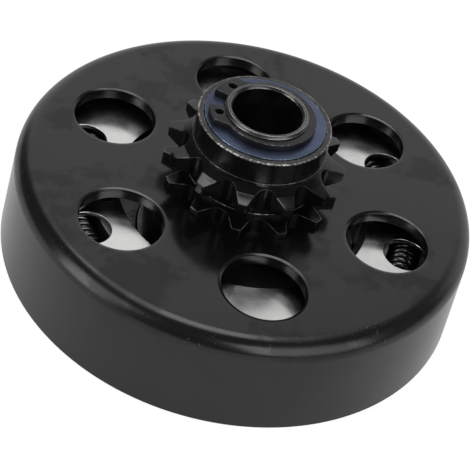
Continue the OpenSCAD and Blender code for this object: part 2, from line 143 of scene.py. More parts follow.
class SprocketSizes(bpy.types.PropertyGroup):
    """Sizes of the sprocket"""
    teeth: count("Teeth", "Number of teeth", 12)
    pitch_r: size("Pitch radius", "Radius of the pitch circle", 18.4 * MM)
    seat_r: size("Seat radius", "Radius of a roller's seat", 2.62 * MM)
    flank: angle("Flank", "Slope of the tooth flanks", 35)
    tip_r: size("Tip radius", "Radius at the tooth tips", 20.35 * MM)
    shoulder_r: size("Shoulder radius", "Radius from which the teeth thin outwards", 17.2 * MM)
    low: size("Teeth height", "Underside of the driven teeth over the face", 5.2 * MM)
    thick: size("Tooth thickness", "Thickness of the driven teeth at the root", 4.6 * MM)
    tip: size("Tip thickness", "Thickness of the driven teeth at the tips", 2.2 * MM)
    tip_low: size("Tip height", "Underside of the tips over the teeth's underside", 1.7 * MM)
    foot: size("Foot thickness", "Thickness of the toothed foot", 2.0 * MM)
    foot_bevel: size("Foot bevel", "Drop of the foot's top face at the tips", 0.15 * MM)
    foot_step: size("Foot step", "Height of the step round the neck, three times its width",
                    1.0 * MM)
    flare: size("Flare", "Height of the cone and collar under the boss", 2.2 * MM)
    cone: angle("Cone", "Slope of the cone under the collar", 35)
    collar: size("Collar", "How far the collar stands out from the boss", 0.22 * MM)
    boss_r: size("Boss radius", "Radius of the boss", 15.2 * MM)
    boss_round: size("Boss edge", "Width of the boss's rounded top edge", 0.3 * MM)
    pocket_r: size("Pocket radius", "Radius of the washer's pocket", 13.9 * MM)
    edge: size("Tooth edge", "Rounding of the teeth's edges", 0.14 * MM)


class BearingSizes(bpy.types.PropertyGroup):
    """Sizes of the bushing and the two thrust washers"""
    tube_r: size("Tube radius", "Outer radius of the hub's tube", 9.525 * MM)
    bushing_gap: size("Bushing gap", "Running gap between the tube and the bushing", 0.04 * MM)
    washer_gap: size("Washer gap", "Gap between the tube and the washers", 0.1 * MM)
    bushing_round: size("Bushing edge", "Rounding of the bushing's edges", 0.2 * MM)
    washer_round: size("Washer edge", "Rounding of the washers' edges", 0.14 * MM)


class RingSizes(bpy.types.PropertyGroup):
    """Sizes of the snap ring"""
    gap_at: angle("Eyes' middle", "Direction of the middle between the eyes", 158)
    gap_shift: angle("Gap shift", "How far the gap's middle lies beside the eyes' middle", 4)
    bore: size("Bore", "Radius inside the ring", 9.0 * MM)
    wide: size("Width", "Width of the band opposite the gap", 2.3 * MM)
    narrow: size("End width", "Width of the band beside the lugs", 1.3 * MM)
    thick: size("Thickness", "Thickness of the ring", 1.5 * MM)
    lug_r: size("Lug radius", "Radius that the lugs reach", 12.95 * MM)
    lug_from: angle("Lug end", "Angle from the gap's middle to a lug", 12.5)
    lug_to: angle("Lug root", "Angle at which a lug begins to narrow", 40)
    band_from: angle("Band", "Angle at which a lug has become the band", 53)
    eye_at: angle("Eye", "Angle of an eye", 28)
    eye_circle: size("Eye circle", "Radius at which the eyes stand", 10.9 * MM)
    eye_r: size("Eye radius", "Radius of an eye's hole", 1.0 * MM)
    edge: size("Edge", "Rounding of the ring's edges", 0.12 * MM)


class SpringSizes(bpy.types.PropertyGroup):
    """Sizes of the four half springs"""
    circle: size("Circle", "Radius of the circle that the springs lie on", CORE_R - 6.65 * MM)
    depth: size("Depth", "Depth of the coils' middle below the core's top", 3.95 * MM)
    coil_r: size("Coil radius", "Radius at the middle of the wire", 2.65 * MM)
    wire_r: size("Wire radius", "Radius of the wire", 0.7 * MM)
    hook_r: size("Hook radius", "Radius of the hook round its pin", 2.32 * MM)
    turns: count("Coils", "Number of coils in a whole spring", 24)
    coil_end: angle("Coil end", "Angle at which the coils end", 31.13)
    pin_at: angle("Pin", "Angle of the pin", 38)
    hook_sweep: angle("Hook sweep", "How far the hook goes round its pin", 240)


class Finishes(bpy.types.PropertyGroup):
    """Colours of the finishes"""
    paint: tint("Gloss black", "Enamel of the drum", (0.0028, 0.0028, 0.003))
    oxide: tint("Black oxide", "Blackened steel of the sprocket", (0.003, 0.003, 0.0033))
    bared: tint("Bared steel", "Steel that shows where an edge is worn", (0.52, 0.51, 0.49))
    bronze: tint("Bronze", "Sintered bronze of the bushing", (0.42, 0.24, 0.10))
    blued: tint("Blued steel", "Outer thrust washer", (0.068, 0.086, 0.142))
    steel: tint("Steel", "Plain steel", (0.42, 0.42, 0.43))
    phosphate: tint("Phosphate", "Phosphated snap ring", (0.035, 0.035, 0.038))
    tube: tint("Turned hub", "Dark turned steel of the hub", (0.09, 0.09, 0.093))
    driver: tint("Driver", "Dark steel of the driver", (0.035, 0.035, 0.037))
    guide: tint("Guide plate", "Steel of the guide plate", (0.24, 0.24, 0.245))
    core: tint("Core", "Pressed steel of the shoes' cores", (0.16, 0.16, 0.165))
    bright: tint("Bright plate", "Bright steel of the shoes' plates", (0.72, 0.72, 0.71))
    lining: tint("Lining", "Friction lining", (0.055, 0.042, 0.032))
    wire: tint("Spring wire", "Drawn wire of the springs", (0.12, 0.12, 0.125))


class StageSettings(bpy.types.PropertyGroup):
    """Camera, lamps and backdrop"""
    camera_at: FloatVectorProperty(name="Camera", description="Place of the camera", size=3,
                                   default=(-0.081243, -0.287108, 0.274574),
                                   subtype="TRANSLATION", unit="LENGTH")
    camera_turn: FloatVectorProperty(name="Camera turn", description="Turn of the camera", size=3,
                                     default=[math.radians(a) for a in (46.910, -11.615, -5.222)],
                                     subtype="EULER", unit="ROTATION")
    lens: FloatProperty(name="Lens", description="Focal length of the camera in millimetres",
                        default=130.6, min=1.0)
    air: share("Room light", "Light that comes from all sides", 0.30, 2.0)
    dark: share("Dark room", "How bright the room is in mirrored surfaces", 0.12)
    backdrop: share("Backdrop", "How bright the backdrop is in mirrored surfaces", 0.85)
    floor_glow: share("Floor", "How bright the floor is in mirrored surfaces", 0.74)


def bevelled(bm, edges, width, segments, rubbed=1.0):
    """Round edges by a width, and mark how worn the new faces are."""
    worn = bm.faces.layers.float.get("wear") or bm.faces.layers.float.new("wear")
    result = bmesh.ops.bevel(bm, geom=edges, offset=width, offset_type="OFFSET", segments=segments,
                             profile=0.5, affect="EDGES", clamp_overlap=True, material=-1)
    for face in result["faces"]:
        face[worn] = rubbed


def is_near(a, b):
    """Are two lengths the same to a thousandth of a millimetre?"""
    return abs(a - b) < TINY


def ring_edges(bm, r, z, centre=(0.0, 0.0)):
    """The edges of a circle round a centre at a level."""
    def on_circle(vert):
        return is_near(vert.co.z, z) and is_near(
            math.hypot(vert.co.x - centre[0], vert.co.y - centre[1]), r)
    return [e for e in bm.edges if all(on_circle(v) for v in e.verts)]


def spin_section(bm, corners, steps, centre=(0.0, 0.0), closed=True):
    """Spin a section of (radius, level) corners about the Z axis through a centre."""
    verts = [bm.verts.new((centre[0] + r, centre[1], z)) for r, z in corners]
    edges = [bm.edges.new(pair) for pair in zip(verts, verts[1:])]
    if closed:
        edges.append(bm.edges.new((verts[-1], verts[0])))
    bmesh.ops.spin(bm, geom=verts + edges, cent=(*centre, 0.0), axis=(0.0, 0.0, 1.0),
                   angle=math.tau, steps=steps, use_merge=True)


def turned(corners, steps=128):
    """A new bmesh turned from a closed section of (radius, level, rounding) corners."""
    bm = bmesh.new()
    spin_section(bm, [corner[:2] for corner in corners], steps)
    for r, z, rounding in corners:
        if rounding:
            bevelled(bm, ring_edges(bm, r, z), rounding, 4)
    return bm


def softened(node, width, sharp=30):
    """A merged copy of a node's solid with its edges rounded, in a new bmesh."""
    bm = bmesh.new()
    bm.from_mesh(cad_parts[node].data)
    bmesh.ops.remove_doubles(bm, verts=bm.verts, dist=TINY)
    flat = math.radians(0.5)
    bmesh.ops.dissolve_limit(bm, angle_limit=flat, verts=bm.verts, edges=bm.edges)
    edges = [e for e in bm.edges
             if e.is_manifold and e.calc_face_angle() > math.radians(sharp)]
    bevelled(bm, edges, width, 2)
    return bm


def add_piece(bm, name, material, body, nodes, sharp=28):
    """Make a bmesh a piece of the scene that rides on a body and stands for its nodes.

    Edges sharper than a number of degrees stay sharp, and without a body it rides on none.
    """
    bmesh.ops.remove_doubles(bm, verts=bm.verts, dist=TINY / 2)
    bmesh.ops.recalc_face_normals(bm, faces=bm.faces)
    for face in bm.faces:
        face.smooth = True
    for edge in bm.edges:
        edge.smooth = edge.calc_face_angle(0.0) < math.radians(sharp)
    name = name.lower().replace(" ", "_")
    mesh = bpy.data.meshes.new(name)
    bm.to_mesh(mesh)
    bm.free()
    piece = bpy.data.objects.new(name, mesh)
    bpy.context.scene.collection.objects.link(piece)
    mesh.materials.append(material)
    weighted = piece.modifiers.new("Weighted normals", "WEIGHTED_NORMAL")
    weighted.weight = 100
    weighted.keep_sharp = True
    if body:
        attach(piece, body)
    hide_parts(*nodes)
    return piece


class Nodes:
    """A short way to add and join nodes in a node tree."""

    def __init__(self, tree):
        self.tree = tree
        tree.nodes.clear()

    def add(self, kind, inputs=None, **settings):
        """A node with its settings and its inputs, which are values or other sockets."""
        node = self.tree.nodes.new(kind)
        for key, value in settings.items():
            setattr(node, key, value)
        for key, value in (inputs or {}).items():
            if isinstance(value, bpy.types.NodeSocket):
                self.tree.links.new(value, node.inputs[key])
            else:
                node.inputs[key].default_value = value
        return node

    def math(self, operation, a, b=0.0, c=0.0, clamp=False):
        """The result of a sum on sockets or numbers."""
        return self.add("ShaderNodeMath", {0: a, 1: b, 2: c}, operation=operation,
                        use_clamp=clamp).outputs[0]

    def spread(self, value, low, high, to_low=0.0, to_high=1.0):
        """A value carried from one range to another, with soft ends."""
        return self.add("ShaderNodeMapRange", {0: value, 1: low, 2: high, 3: to_low, 4: to_high},
                        interpolation_type="SMOOTHSTEP").outputs[0]

    def noise(self, vector, scale, detail=4.0, roughness=0.5):
        """Noise over a vector."""
        return self.add("ShaderNodeTexNoise", {"Vector": vector, "Scale": scale, "Detail": detail,
                                               "Roughness": roughness}).outputs[0]

    def mix(self, factor, a, b):
        """A colour between two others."""
        return self.add("ShaderNodeMix", {0: factor, 6: a, 7: b}, data_type="RGBA").outputs[2]

    def between(self, factor, a, b):
        """A number between two others."""
        return self.add("ShaderNodeMix", {0: factor, 2: a, 3: b}).outputs[0]

    def attribute(self, name):
        """An attribute of the mesh, which is 0 where a mesh hasn't got it."""
        return self.add("ShaderNodeAttribute", attribute_name=name).outputs["Fac"]


def opaque(rgb):
    """A colour with full alpha."""
    return (*rgb, 1.0)


def radius_and_level(n, place):
    """The distance from the axis and the height of a place."""
    xyz = n.add("ShaderNodeSeparateXYZ", {0: place}).outputs
    radius = n.math("SQRT", n.math("ADD", n.math("MULTIPLY", xyz[0], xyz[0]),
                                   n.math("MULTIPLY", xyz[1], xyz[1])))
    return radius, xyz[2]


def turned_vector(n, place, stretch):
    """Coordinates in which noise runs round the axis: the radius and the level, stretched."""
    radius, level = radius_and_level(n, place)
    return n.add("ShaderNodeCombineXYZ", {0: n.math("MULTIPLY", radius, stretch),
                                          1: n.math("MULTIPLY", level, stretch)}).outputs[0]


def finish(name, colour, metallic, roughness, vary=0.06, grain=900.0, bump=0.02, lathe=0.0,
           worn=0.0, bared=(0.5, 0.5, 0.49), mottle=0.15, broken=0.45, rings=0.0):
    """A surface with mottled colour, uneven gloss, fine grain, lathe lines and bared edges.

    mottle, vary, bump, lathe and worn say how strong these are, broken what share of the
    bared edge is left between its patches, and rings how far apart bared turning marks lie.
    The mesh's attribute "wear" says where it is bared, and "shade" where painted shade makes it mirror less.
    """
    material = bpy.data.materials.new(name)
    material.use_nodes = True
    n = Nodes(material.node_tree)
    place = n.add("ShaderNodeTexCoord").outputs["Object"]
    broad = n.noise(place, 60.0, 5.0, 0.6)
    fine = n.noise(place, grain, 3.0, 0.6)
    tone = n.spread(broad, 0.3, 0.7, 1.0 - mottle, 1.0 + mottle)
    base = n.add("ShaderNodeVectorMath", {0: colour, "Scale": tone}, operation="SCALE").outputs[0]
    rough = n.spread(n.noise(place, 140.0, 6.0, 0.65), 0.3, 0.7, roughness - vary, roughness + vary)
    shine = metallic
    if worn:
        edge = n.attribute("wear")
        speckle = n.spread(n.noise(place, 1500.0, 5.0, 0.7), 0.62 - 0.2 * worn, 0.67 - 0.2 * worn)
        patch = n.spread(n.noise(place, 170.0, 3.0, 0.6), 0.42, 0.58, broken, 1.0)
        flecks = n.math("MULTIPLY_ADD", n.math("MULTIPLY", edge, edge), speckle,
                        n.math("MULTIPLY", edge, 0.25 * worn))
        if rings:
            wave = n.math("SINE", n.math("MULTIPLY", radius_and_level(n, place)[0],
                                         math.tau / rings))
            patch = n.math("MULTIPLY", patch, n.spread(wave, -0.3, 0.7, 0.45, 1.0))
        rubbed = n.math("MULTIPLY", flecks, patch, clamp=True)
        base = n.mix(rubbed, base, opaque(bared))
        rough = n.between(rubbed, rough, BARED_ROUGHNESS)
        shine = n.between(rubbed, metallic, 1.0)
    height = fine
    if lathe:
        lines = n.noise(turned_vector(n, place, LATHE_MARKS), 1.0, 2.0, 0.5)
        height = n.math("ADD", n.math("MULTIPLY", fine, 1.0 - lathe),
                        n.math("MULTIPLY", lines, lathe))
    bumped = n.add("ShaderNodeBump", {"Height": height, "Strength": bump, "Distance": BUMP_DEPTH})
    # Painted shade: where the attribute "shade" is set, the specular level drops
    level = n.math("MULTIPLY_ADD", n.attribute("shade"), -0.5, 0.5)
    shader = n.add("ShaderNodeBsdfPrincipled", {
        "Base Color": base, "Metallic": shine, "Roughness": rough, "IOR": 1.5,
        "Specular IOR Level": level, "Normal": bumped.outputs[0]})
    n.add("ShaderNodeOutputMaterial", {"Surface": shader.outputs[0]})
    return material


def enamel(colour):
    """Gloss enamel: clouded and stained gloss, faint rolling lines and a few small chips.

    The mesh's attribute for painted shade on the holes' walls says where a wall mirrors less, and "wear"
    where it chips.
    """
    material = bpy.data.materials.new("Gloss black enamel")
    material.use_nodes = True
    n = Nodes(material.node_tree)
    place = n.add("ShaderNodeTexCoord").outputs["Object"]
    cut = n.attribute("cut")
    worn = n.attribute("wear")
    clouds = n.noise(place, 26.0, 7.0, 0.6)
    above_rim = n.add("ShaderNodeSeparateXYZ", {0: place}).outputs[2]
    on_face = n.spread(above_rim, FACE_Z - 5 * MM, FACE_Z - MM, 0.15, 1.0)
    patches = n.math("MULTIPLY", n.spread(n.noise(place, 48.0, 9.0, 0.66), 0.525, 0.59), on_face)
    rough = n.spread(clouds, 0.35, 0.65, 0.13, 0.19)
    rough = n.math("MULTIPLY_ADD", patches, 0.04, rough)
    rough = n.math("MULTIPLY_ADD", worn, 0.09, rough)
    rough = n.math("MULTIPLY_ADD", cut, 0.04, rough)
    chips = n.spread(n.noise(place, 1900.0, 4.0, 0.6), 0.62, 0.7)
    sparse = n.spread(n.noise(place, 150.0, 3.0, 0.6), 0.5, 0.62)
    chips = n.math("MULTIPLY", chips, n.math("MULTIPLY", sparse, worn))
    rough = n.math("MULTIPLY_ADD", chips, 0.25, rough)
    shade = n.math("MULTIPLY_ADD", clouds, 0.6, 0.7)
    base = n.add("ShaderNodeVectorMath", {0: colour, "Scale": shade}, operation="SCALE").outputs[0]
    base = n.mix(n.math("MULTIPLY", chips, 0.5), base, opaque((0.16, 0.16, 0.16)))
    level = n.math("MULTIPLY_ADD", patches, -0.14, n.spread(clouds, 0.3, 0.7, 0.555, 0.485))
    # Painted shade: the holes' walls mirror less, which darkens them
    level = n.math("MULTIPLY_ADD", cut, -0.16, level)
    peel = n.noise(place, 380.0, 3.0, 0.5)
    along = n.add("ShaderNodeMapping", {0: place, "Scale": (60.0, 1300.0, 200.0)}).outputs[0]
    rolled = n.noise(along, 1.0, 3.0, 0.55)
    height = n.math("MULTIPLY_ADD", rolled, 0.35, peel)
    height = n.math("MULTIPLY_ADD", chips, -1.5, height)
    bumped = n.add("ShaderNodeBump", {"Height": height, "Strength": 0.06, "Distance": BUMP_DEPTH})
    shader = n.add("ShaderNodeBsdfPrincipled", {
        "Base Color": base, "Roughness": rough, "IOR": 1.5, "Specular IOR Level": level,
        "Normal": bumped.outputs[0]})
    n.add("ShaderNodeOutputMaterial", {"Surface": shader.outputs[0]})
    return material


class CLUTCH_OT_drum(bpy.types.Operator):
    """Model the drum's bell with its rounded corner and its holes"""
    bl_idname = "clutch.drum"
    bl_label = "Drum"

    def execute(self, context):
        s = context.scene.clutch_drum
        colours = context.scene.clutch_finishes
        under = s.face_z - s.face
        bore_r = s.rim_r - s.wall
        top_r = s.rim_r - s.draft
        wall_angle = math.pi / 2 + math.atan2(s.draft, s.face_z)
        border = 0.6 * MM  # width of the spun flats between the rounded edges and the filled face
        outer_loop = top_r - s.corner - border
        under_loop = bore_r - s.inner_corner - border
        inner_loop = s.neck_r + border
        slope_r = s.hole_r + s.hole_lip
        slope_z = s.face_z - s.hole_drop
        lip_r = slope_r + s.hole_lip
        bm = bmesh.new()
        spin_section(bm, [(s.neck_r, under), (inner_loop, under), (under_loop, under),
                          (bore_r, under), (bore_r, 0.0), (s.rim_r, 0.0), (top_r, s.face_z),
                          (outer_loop, s.face_z), (inner_loop, s.face_z),
                          (s.neck_r, s.face_z)], steps=256)
        # Radius, level, width and segments of each rounded edge
        rings = ((top_r, s.face_z, s.corner / math.tan(wall_angle / 2), 18),
                 (bore_r, under, s.inner_corner, 6), (s.rim_r, 0.0, s.rim_round, 4),
                 (bore_r, 0.0, s.rim_round / 2, 3))
        for r, z, width, segments in rings:
            bevelled(bm, ring_edges(bm, r, z), width, segments)
        flats = ((s.face_z, outer_loop), (under, under_loop))
        for z, outside in flats:
            middle = [f for f in bm.faces if all(
                is_near(v.co.z, z) and (is_near(v.co.xy.length, outside)
                                        or is_near(v.co.xy.length, inner_loop)) for v in f.verts)]
            bmesh.ops.delete(bm, geom=middle, context="FACES")
        centres = []
        for i in range(s.holes):
            at = s.hole_at + i * math.tau / s.holes
            centre = (s.hole_circle * math.cos(at), s.hole_circle * math.sin(at))
            centres.append(centre)
            spin_section(bm, [(lip_r, s.face_z), (slope_r, s.face_z), (s.hole_r, slope_z),
                              (s.hole_r, under), (lip_r, under)],
                         96, centre, closed=False)
            bevelled(bm, ring_edges(bm, slope_r, s.face_z, centre), s.hole_round / 2, 3, 0.0)
            bevelled(bm, ring_edges(bm, s.hole_r, slope_z, centre), s.hole_round, 4, 0.0)
            bevelled(bm, ring_edges(bm, s.hole_r, under, centre), s.hole_burr, 3, 0.0)
        for z, outside in flats:
            edges = ring_edges(bm, outside, z) + ring_edges(bm, inner_loop, z)
            for centre in centres:
                edges += ring_edges(bm, lip_r, z, centre)
            bmesh.ops.triangle_fill(bm, use_beauty=True, use_dissolve=False, edges=edges)
        # Painted shade on the holes' walls, which the enamel makes mirror less
        cut = bm.faces.layers.float.new("cut")
        for face in bm.faces:
            middle = face.calc_center_median()
            if under < middle.z < slope_z and middle.xy.length < outer_loop:
                face[cut] = 1.0
        add_piece(bm, "Drum bell", enamel(colours.paint), "drum", ["drum"])
        return {"FINISHED"}


# Painted shade: how much less the sprocket's flanks and neck, the cone and the boss's side mirror than its
# tops, which darkens these recesses and the boss's side
FLANK_PAINTED_SHADE, CONE_PAINTED_SHADE, BOSS_PAINTED_SHADE = 0.65, 0.5, 0.25


def tooth_half_angle(s, r):
    """Half the angle that one tooth covers at a radius."""
    half_pitch = math.pi / s.teeth
    flank_x = s.pitch_r - s.seat_r * math.sin(s.flank)
    flank_y = s.seat_r * math.cos(s.flank)
    if r <= math.hypot(flank_x, flank_y):
        cosine = (r * r + s.pitch_r ** 2 - s.seat_r ** 2) / (2 * r * s.pitch_r)
        return half_pitch - math.acos(min(cosine, 1.0))
    along = flank_x * math.cos(s.flank) + flank_y * math.sin(s.flank)
    run = -along + math.sqrt(along ** 2 - flank_x ** 2 - flank_y ** 2 + r * r)
    return half_pitch - math.atan2(flank_y + run * math.sin(s.flank),
                                   flank_x + run * math.cos(s.flank))


def toothed_ring(s, low, high, worn):
    """A closed ring of teeth between two levels, in a new bmesh.

    Each level is a rule from the radius, and worn says how worn the edges are.
    """
    root_r = s.pitch_r - s.seat_r
    inner_r = s.boss_r - 0.02 * MM
    web, seat, tip = 3, 7, 5  # rows of faces inside the roots, to the shoulder and to the tips
    radii = [inner_r + (root_r - inner_r) * i / web for i in range(web)]
    radii += [root_r + (s.shoulder_r - root_r) * (i / seat) ** 2 for i in range(seat + 1)]
    radii += [s.shoulder_r + (s.tip_r - s.shoulder_r) * i / tip for i in range(1, tip + 1)]
    rows = len(radii) - 1
    columns = 8
    bm = bmesh.new()
    for level in (high, low):
        skin = bmesh.ops.create_grid(bm, x_segments=rows, y_segments=columns, size=0.5)["verts"]
        for vert in skin:
            r = radii[round((vert.co.x + 0.5) * rows)]
            half = tooth_half_angle(s, r) if r > root_r else math.pi / s.teeth
            at = math.pi / s.teeth + 2 * vert.co.y * half
            vert.co = (r * math.cos(at), r * math.sin(at), level(r))
    rims = [e for e in bm.edges if e.is_boundary]
    outer = [e for e in rims if min(v.co.xy.length for v in e.verts) > root_r - TINY]
    inner = [e for e in rims if max(v.co.xy.length for v in e.verts) < inner_r + TINY]
    bmesh.ops.bridge_loops(bm, edges=outer)
    bmesh.ops.bridge_loops(bm, edges=inner)
    tooth = bm.verts[:] + bm.edges[:] + bm.faces[:]
    for i in range(1, s.teeth):
        copy = bmesh.ops.duplicate(bm, geom=tooth)["geom"]
        turn = Matrix.Rotation(i * math.tau / s.teeth, 3, "Z")
        bmesh.ops.rotate(bm, verts=[v for v in copy if isinstance(v, bmesh.types.BMVert)],
                         cent=(0.0, 0.0, 0.0), matrix=turn)
    bmesh.ops.remove_doubles(bm, verts=bm.verts, dist=TINY)
    bmesh.ops.recalc_face_normals(bm, faces=bm.faces)
    edges = [e for e in bm.edges if e.is_manifold and e.calc_face_angle() > math.radians(14)
             and min(v.co.xy.length for v in e.verts) > root_r - 10 * TINY]
    bevelled(bm, edges, s.edge, 2, worn)
    bm.normal_update()
    wear = bm.faces.layers.float["wear"]
    # Painted shade on steep flanks and tip ends and on the cone inside the shoulder, whose wear is also
    # lessened
    shade = bm.faces.layers.float.new("shade")
    for face in bm.faces:
        steep = face.normal.z < 0.3
        if steep or face.calc_center_median().xy.length < s.shoulder_r:
            face[wear] *= 0.25
            face[shade] = FLANK_PAINTED_SHADE if steep else CONE_PAINTED_SHADE
    return bm


def join_into(bm, other):
    """Add another bmesh to this one."""
    mesh = bpy.data.meshes.new("joined")
    other.to_mesh(mesh)
    other.free()
    bm.from_mesh(mesh)
    bpy.data.meshes.remove(mesh)


class CLUTCH_OT_sprocket(bpy.types.Operator):
    """Model the sprocket with its two rings of teeth and its boss"""
    bl_idname = "clutch.sprocket"
    bl_label = "Sprocket"

    def execute(self, context):
        s = context.scene.clutch_sprocket
        neck_r = context.scene.clutch_drum.neck_r
        face_z = context.scene.clutch_drum.face_z
        colours = context.scene.clutch_finishes
        low_z = face_z + s.low
        top_z = low_z + s.thick
        flare_z = top_z + s.flare
        foot_z = face_z + s.foot

        def outward(r):
            """0 at the shoulder and 1 at the tips."""
            return max(0.0, (r - s.shoulder_r) / (s.tip_r - s.shoulder_r))

        def driven_top(r):
            """A cone from the collar to the shoulder, and a bevel from there to the tips."""
            if r < s.shoulder_r:
                return top_z + (s.shoulder_r - r) * math.tan(s.cone)
            return top_z + (low_z + s.tip_low + s.tip - top_z) * outward(r)

        step_r = neck_r + s.foot_step / 3
        step_z = foot_z + s.foot_step
        bm = turned([(BUSHING_R, SPIGOT_Z, 0.2 * MM), (neck_r, SPIGOT_Z, 0.3 * MM),
                     (neck_r, face_z, 0.0), (step_r, face_z, 0.0),
                     (step_r, step_z, 0.12 * MM), (neck_r, step_z, 0.0),
                     (neck_r, low_z + s.tip_low, 0.0), (s.boss_r + s.collar, top_z, 0.0),
                     (s.boss_r + s.collar, flare_z - s.collar / 5, 0.04 * MM),
                     (s.boss_r, flare_z + s.collar / 5, 0.0),
                     (s.boss_r, BOSS_TOP_Z, s.boss_round), (s.pocket_r, BOSS_TOP_Z, 0.15 * MM),
                     (s.pocket_r, POCKET_Z, 0.1 * MM), (BUSHING_R, POCKET_Z, 0.0)], steps=160)
        # Painted shade on the neck under the teeth and on the boss's side, and a little wear on the boss's
        # flat rim
        worn = bm.faces.layers.float["wear"]
        shade = bm.faces.layers.float.new("shade")
        for face in bm.faces:
            middle = face.calc_center_median()
            if is_near(middle.z, BOSS_TOP_Z) and middle.xy.length > s.pocket_r:
                face[worn] = 0.2
            if foot_z < middle.z < top_z:
                face[shade] = FLANK_PAINTED_SHADE
            elif is_near(max(v.co.xy.length for v in face.verts), s.boss_r):
                face[shade] = BOSS_PAINTED_SHADE
        join_into(bm, toothed_ring(s, lambda r: low_z + s.tip_low * outward(r), driven_top,
                                   worn=0.12))
        join_into(bm, toothed_ring(s, lambda r: face_z,
                                   lambda r: foot_z - s.foot_bevel * outward(r), worn=0.6))
        oxide = finish("Black oxide", colours.oxide, 0.0, 0.2, vary=0.04, grain=1300.0, bump=0.13,
                       lathe=0.35, worn=0.6, bared=colours.bared, mottle=0.3, broken=0.35)
        add_piece(bm, "Sprocket teeth and boss", oxide, "drum",
                  ["sprocket"])
        return {"FINISHED"}


class CLUTCH_OT_bearing(bpy.types.Operator):
    """Model the bushing and the two thrust washers"""
    bl_idname = "clutch.bearing"
    bl_label = "Bushing and washers"

    def execute(self, context):
        s = context.scene.clutch_bearing
        colours = context.scene.clutch_finishes
        bronze = finish("Sintered bronze", colours.bronze, 1.0, 0.38, vary=0.08, grain=2200.0,
                        bump=0.2, lathe=0.3, mottle=0.2)
        blued = finish("Blued washer", colours.blued, 0.85, 0.3, vary=0.06, grain=1500.0, bump=0.09,
                       lathe=0.6, worn=0.5, bared=(0.3, 0.34, 0.42), mottle=0.3)
        steel = finish("Washer steel", colours.steel, 1.0, 0.32, vary=0.06, grain=1500.0, bump=0.05,
                       lathe=0.4, mottle=0.1)
        rows = (("Bronze bushing", "bushing", bronze, "drum", "bronze_bushing",
                 s.bushing_gap, s.bushing_round),
                ("Outer thrust washer", "outer_thrust_washer", blued, "hub", "blued_washer",
                 s.washer_gap, s.washer_round),
                ("Inner thrust washer", "inner_thrust_washer", steel, "hub", "steel_washer",
                 s.washer_gap, s.washer_round))
        for name, node, material, body, slot, gap, rounding in rows:
            r, low, high = reach(node)
            bore = s.tube_r + gap
            bm = turned([(bore, low, rounding), (r, low, rounding),
                         (r, high, rounding), (bore, high, rounding)])
            add_piece(bm, name, material, body, [node])
        return {"FINISHED"}


def snap_ring(s, low_z):
    """A ring with a lug and an eye on each side of its gap, in a new bmesh."""
    def spot(r, turn):
        return (r * math.cos(s.gap_at + turn), r * math.sin(s.gap_at + turn), low_z)

    def run(radius, start, stop, steps):
        turns = [start + (stop - start) * i / steps for i in range(steps + 1)]
        return [spot(radius(turn), turn) for turn in turns]

    def band(turn):
        return s.bore + s.narrow + (s.wide - s.narrow) * (1 - math.cos(turn)) / 2

    first = s.gap_shift + s.lug_from
    last = math.tau + s.gap_shift - s.lug_from
    lug_steps, band_steps, bore_steps, eye_steps = 12, 96, 120, 32
    loops = [run(lambda turn: s.lug_r, first, s.lug_to, lug_steps)
             + run(band, s.band_from, math.tau - s.band_from, band_steps)
             + run(lambda turn: s.lug_r, math.tau - s.lug_to, last, lug_steps)
             + run(lambda turn: s.bore, last, first, bore_steps)]
    for side in (-1, 1):
        x, y, _ = spot(s.eye_circle, side * s.eye_at)
        turns = [math.tau * i / eye_steps for i in range(eye_steps)]
        loops.append([(x + s.eye_r * math.cos(a), y + s.eye_r * math.sin(a), low_z)
                      for a in turns])
    bm = bmesh.new()
    edges = []
    for loop in loops:
        verts = [bm.verts.new(point) for point in loop]
        edges += [bm.edges.new(pair) for pair in zip(verts, verts[1:] + verts[:1])]
    bmesh.ops.triangle_fill(bm, use_beauty=True, use_dissolve=False, edges=edges)
    raised = bmesh.ops.extrude_face_region(bm, geom=bm.faces[:])["geom"]
    bmesh.ops.translate(bm, verts=[v for v in raised if isinstance(v, bmesh.types.BMVert)],
                        vec=(0.0, 0.0, s.thick))
    bm.normal_update()
    bevelled(bm, [e for e in bm.edges if e.calc_face_angle(0.0) > math.radians(50)], s.edge, 2)
    if not all(e.is_manifold for e in bm.edges):
        raise RuntimeError("the snap ring is not closed")
    return bm


